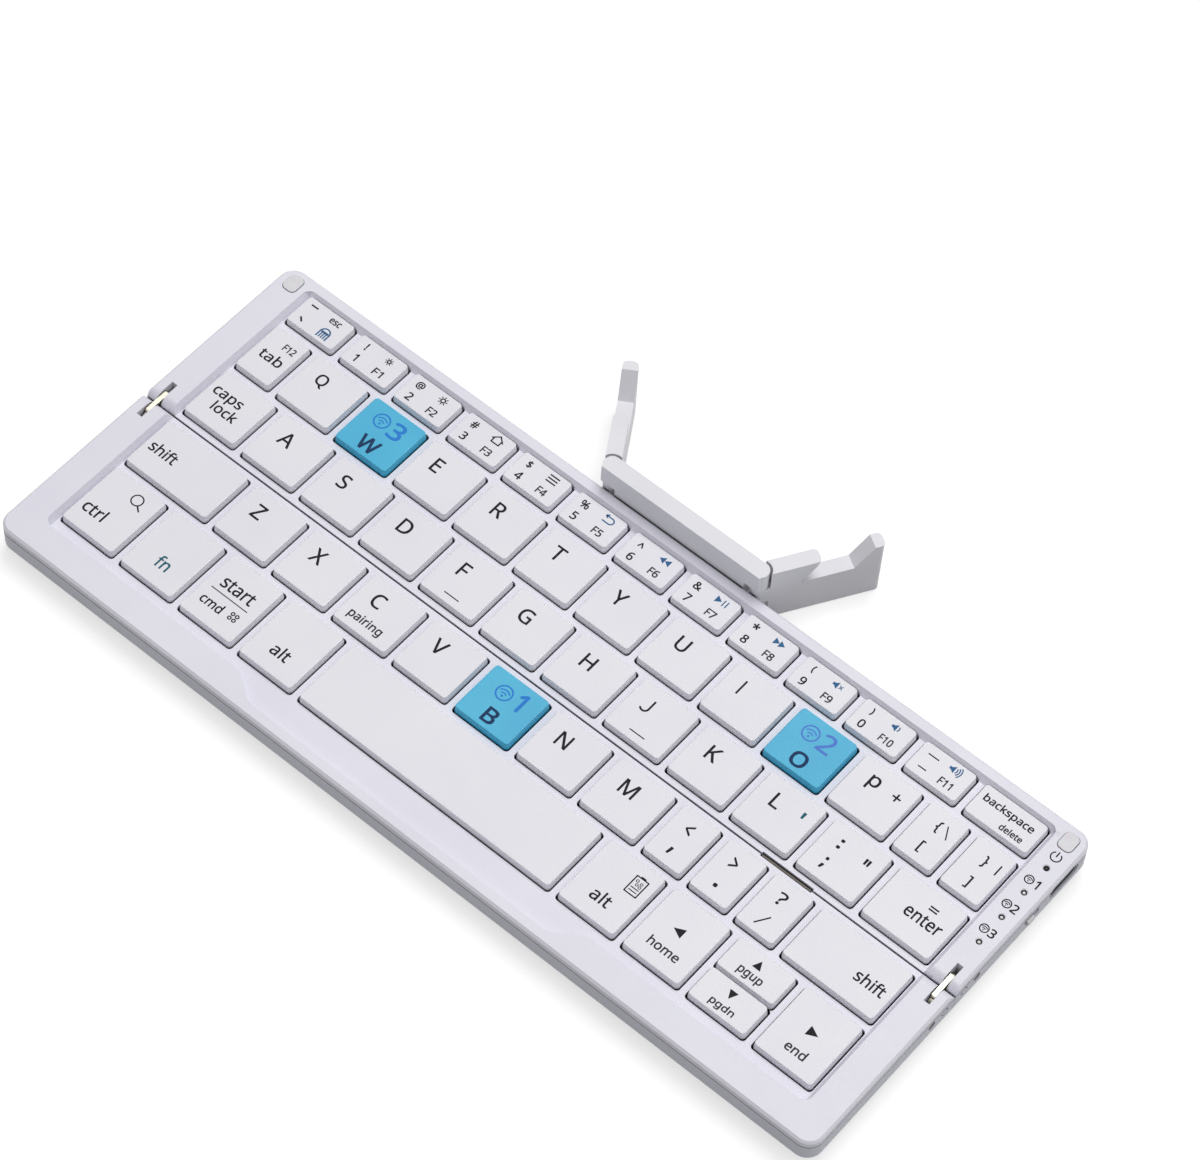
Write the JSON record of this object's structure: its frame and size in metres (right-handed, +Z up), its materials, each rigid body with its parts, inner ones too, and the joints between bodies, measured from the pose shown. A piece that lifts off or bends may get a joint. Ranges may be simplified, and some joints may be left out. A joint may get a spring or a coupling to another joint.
{
  "type": "folding keyboard",
  "caption": "Pocket keyboard that folds in half on a double-pivot hinge, with swing-out wings on its back edge that hold a phone upright.",
  "frame": {"origin": "on the table, below the centre of the open keyboard's footprint with its stand", "axes": "+X to the typist's right, +Y away from the typist, +Z up"},
  "size_m": [0.2096, 0.1122, 0.0156],
  "materials": {
    "body_shell": "fine moulded texture, satin",
    "stand_plastic": "fine moulded texture, satin",
    "keycap": "fine matt texture with printed legends",
    "accent_keycap": "fine matt texture with printed legends",
    "base_plate_metal": "stamped, black",
    "membrane_film": "printed film",
    "dome_rubber": "translucent silicone",
    "guide_plastic": "plain moulded",
    "circuit_board": "solder mask",
    "port_metal": "drawn, satin",
    "port_plastic": "plain moulded",
    "switch_plastic": "plain moulded",
    "lens_plastic": "clear, polished",
    "magnet_metal": "plated",
    "pad_rubber": "soft, translucent",
    "foot_rubber": "soft matt",
    "fastener_steel": "zinc plated",
    "link_steel": "blasted, satin",
    "cable_film": "polyimide film",
    "battery_wrap": "foil pouch"
  },
  "bodies": {
    "rear_half": {"rear_top_frame": "body_shell", "rear_bottom_cover": "body_shell", "rear_base_plate": "base_plate_metal", "rear_membrane": "membrane_film", "rear_rubber_domes": "dome_rubber", "rear_scissor_frames": "guide_plastic", "main_board": "circuit_board", "usb_port_shell": "port_metal", "usb_port_tongue": "port_plastic", "power_switch_body": "port_metal", "status_led_lenses": "lens_plastic", "rear_magnets": "magnet_metal", "corner_pads": "pad_rubber", "rear_feet": "foot_rubber", "rear_screws": "fastener_steel", "rear_hinge_pins": "fastener_steel", "stand_bar": "stand_plastic", "stand_screws": "fastener_steel", "stand_wing_pins": "fastener_steel", "flex_cable": "cable_film"},
    "hinge_link": {"hinge_links": "link_steel"},
    "front_half": {"front_top_frame": "body_shell", "front_bottom_cover": "body_shell", "front_base_plate": "base_plate_metal", "front_membrane": "membrane_film", "front_rubber_domes": "dome_rubber", "front_scissor_frames": "guide_plastic", "battery": "battery_wrap", "front_magnets": "magnet_metal", "front_feet": "foot_rubber", "front_screws": "fastener_steel", "front_hinge_pins": "fastener_steel"},
    "wing_left": {"stand_wing_left": "stand_plastic"},
    "wing_right": {"stand_wing_right": "stand_plastic"},
    "switch_knob": {"power_switch_knob": "switch_plastic"},
    "key_escape": {"key_escape": "keycap"},
    "number_keys": {"number_keys": "keycap"},
    "key_backspace": {"key_backspace": "keycap"},
    "key_tab": {"key_tab": "keycap"},
    "upper_row_keys": {"upper_row_keys": "keycap"},
    "key_w": {"key_w": "accent_keycap"},
    "key_o": {"key_o": "accent_keycap"},
    "key_caps_lock": {"key_caps_lock": "keycap"},
    "home_row_keys": {"home_row_keys": "keycap"},
    "key_enter": {"key_enter": "keycap"},
    "key_shift_left": {"key_shift_left": "keycap"},
    "lower_row_keys": {"lower_row_keys": "keycap"},
    "key_b": {"key_b": "accent_keycap"},
    "punctuation_keys": {"punctuation_keys": "keycap"},
    "key_shift_right": {"key_shift_right": "keycap"},
    "key_ctrl": {"key_ctrl": "keycap"},
    "key_fn": {"key_fn": "keycap"},
    "key_start": {"key_start": "keycap"},
    "key_alt_left": {"key_alt_left": "keycap"},
    "key_space": {"key_space": "keycap"},
    "key_alt_right": {"key_alt_right": "keycap"},
    "key_left": {"key_left": "keycap"},
    "key_up": {"key_up": "keycap"},
    "key_down": {"key_down": "keycap"},
    "key_right": {"key_right": "keycap"}
  },
  "joints": [
    {"name": "fold_link", "type": "hinge", "parent": "rear_half", "child": "hinge_link", "pos_m": [0, -0.00955, 0.0063], "axis": [-1, 0, 0], "range_deg": [0, 90], "deforming": ["flex_cable"]},
    {"name": "fold_front", "type": "hinge", "parent": "hinge_link", "child": "front_half", "pos_m": [0, -0.01555, 0.0063], "axis": [-1, 0, 0], "range_deg": [0, 90], "deforming": ["flex_cable"]},
    {"name": "wing_right_swing", "type": "hinge", "parent": "rear_half", "child": "wing_right", "pos_m": [0.0192, 0.03345, 0.01], "axis": [0, 0, -1], "range_deg": [0, 58.5]},
    {"name": "wing_left_swing", "type": "hinge", "parent": "rear_half", "child": "wing_left", "pos_m": [-0.0192, 0.03345, 0.01], "axis": [0, 0, 1], "range_deg": [0, 58.5]},
    {"name": "power_switch_slide", "type": "slide", "parent": "rear_half", "child": "switch_knob", "axis": [0, 1, 0], "range_m": [0, 0.002]},
    {"name": "key_escape_press", "type": "slide", "parent": "rear_half", "child": "key_escape", "axis": [0, 0, -1], "range_m": [0, 0.0012], "stiffness_N_per_m": 300, "springref_m": -0.0005},
    {"name": "number_keys_press", "type": "slide", "parent": "rear_half", "child": "number_keys", "axis": [0, 0, -1], "range_m": [0, 0.0012], "stiffness_N_per_m": 300, "springref_m": -0.0005},
    {"name": "key_backspace_press", "type": "slide", "parent": "rear_half", "child": "key_backspace", "axis": [0, 0, -1], "range_m": [0, 0.0012], "stiffness_N_per_m": 300, "springref_m": -0.0005},
    {"name": "key_tab_press", "type": "slide", "parent": "rear_half", "child": "key_tab", "axis": [0, 0, -1], "range_m": [0, 0.0012], "stiffness_N_per_m": 300, "springref_m": -0.0005},
    {"name": "upper_row_keys_press", "type": "slide", "parent": "rear_half", "child": "upper_row_keys", "axis": [0, 0, -1], "range_m": [0, 0.0012], "stiffness_N_per_m": 300, "springref_m": -0.0005},
    {"name": "key_w_press", "type": "slide", "parent": "rear_half", "child": "key_w", "axis": [0, 0, -1], "range_m": [0, 0.0012], "stiffness_N_per_m": 300, "springref_m": -0.0005},
    {"name": "key_o_press", "type": "slide", "parent": "rear_half", "child": "key_o", "axis": [0, 0, -1], "range_m": [0, 0.0012], "stiffness_N_per_m": 300, "springref_m": -0.0005},
    {"name": "key_caps_lock_press", "type": "slide", "parent": "rear_half", "child": "key_caps_lock", "axis": [0, 0, -1], "range_m": [0, 0.0012], "stiffness_N_per_m": 300, "springref_m": -0.0005},
    {"name": "home_row_keys_press", "type": "slide", "parent": "rear_half", "child": "home_row_keys", "axis": [0, 0, -1], "range_m": [0, 0.0012], "stiffness_N_per_m": 300, "springref_m": -0.0005},
    {"name": "key_enter_press", "type": "slide", "parent": "rear_half", "child": "key_enter", "axis": [0, 0, -1], "range_m": [0, 0.0012], "stiffness_N_per_m": 300, "springref_m": -0.0005},
    {"name": "key_shift_left_press", "type": "slide", "parent": "front_half", "child": "key_shift_left", "axis": [0, 0, -1], "range_m": [0, 0.0012], "stiffness_N_per_m": 300, "springref_m": -0.0005},
    {"name": "lower_row_keys_press", "type": "slide", "parent": "front_half", "child": "lower_row_keys", "axis": [0, 0, -1], "range_m": [0, 0.0012], "stiffness_N_per_m": 300, "springref_m": -0.0005},
    {"name": "key_b_press", "type": "slide", "parent": "front_half", "child": "key_b", "axis": [0, 0, -1], "range_m": [0, 0.0012], "stiffness_N_per_m": 300, "springref_m": -0.0005},
    {"name": "punctuation_keys_press", "type": "slide", "parent": "front_half", "child": "punctuation_keys", "axis": [0, 0, -1], "range_m": [0, 0.0012], "stiffness_N_per_m": 300, "springref_m": -0.0005},
    {"name": "key_shift_right_press", "type": "slide", "parent": "front_half", "child": "key_shift_right", "axis": [0, 0, -1], "range_m": [0, 0.0012], "stiffness_N_per_m": 300, "springref_m": -0.0005},
    {"name": "key_ctrl_press", "type": "slide", "parent": "front_half", "child": "key_ctrl", "axis": [0, 0, -1], "range_m": [0, 0.0012], "stiffness_N_per_m": 300, "springref_m": -0.0005},
    {"name": "key_fn_press", "type": "slide", "parent": "front_half", "child": "key_fn", "axis": [0, 0, -1], "range_m": [0, 0.0012], "stiffness_N_per_m": 300, "springref_m": -0.0005},
    {"name": "key_start_press", "type": "slide", "parent": "front_half", "child": "key_start", "axis": [0, 0, -1], "range_m": [0, 0.0012], "stiffness_N_per_m": 300, "springref_m": -0.0005},
    {"name": "key_alt_left_press", "type": "slide", "parent": "front_half", "child": "key_alt_left", "axis": [0, 0, -1], "range_m": [0, 0.0012], "stiffness_N_per_m": 300, "springref_m": -0.0005},
    {"name": "key_space_press", "type": "slide", "parent": "front_half", "child": "key_space", "axis": [0, 0, -1], "range_m": [0, 0.0012], "stiffness_N_per_m": 300, "springref_m": -0.0005},
    {"name": "key_alt_right_press", "type": "slide", "parent": "front_half", "child": "key_alt_right", "axis": [0, 0, -1], "range_m": [0, 0.0012], "stiffness_N_per_m": 300, "springref_m": -0.0005},
    {"name": "key_left_press", "type": "slide", "parent": "front_half", "child": "key_left", "axis": [0, 0, -1], "range_m": [0, 0.0012], "stiffness_N_per_m": 300, "springref_m": -0.0005},
    {"name": "key_up_press", "type": "slide", "parent": "front_half", "child": "key_up", "axis": [0, 0, -1], "range_m": [0, 0.0012], "stiffness_N_per_m": 300, "springref_m": -0.0005},
    {"name": "key_down_press", "type": "slide", "parent": "front_half", "child": "key_down", "axis": [0, 0, -1], "range_m": [0, 0.0012], "stiffness_N_per_m": 300, "springref_m": -0.0005},
    {"name": "key_right_press", "type": "slide", "parent": "front_half", "child": "key_right", "axis": [0, 0, -1], "range_m": [0, 0.0012], "stiffness_N_per_m": 300, "springref_m": -0.0005}
  ]
}
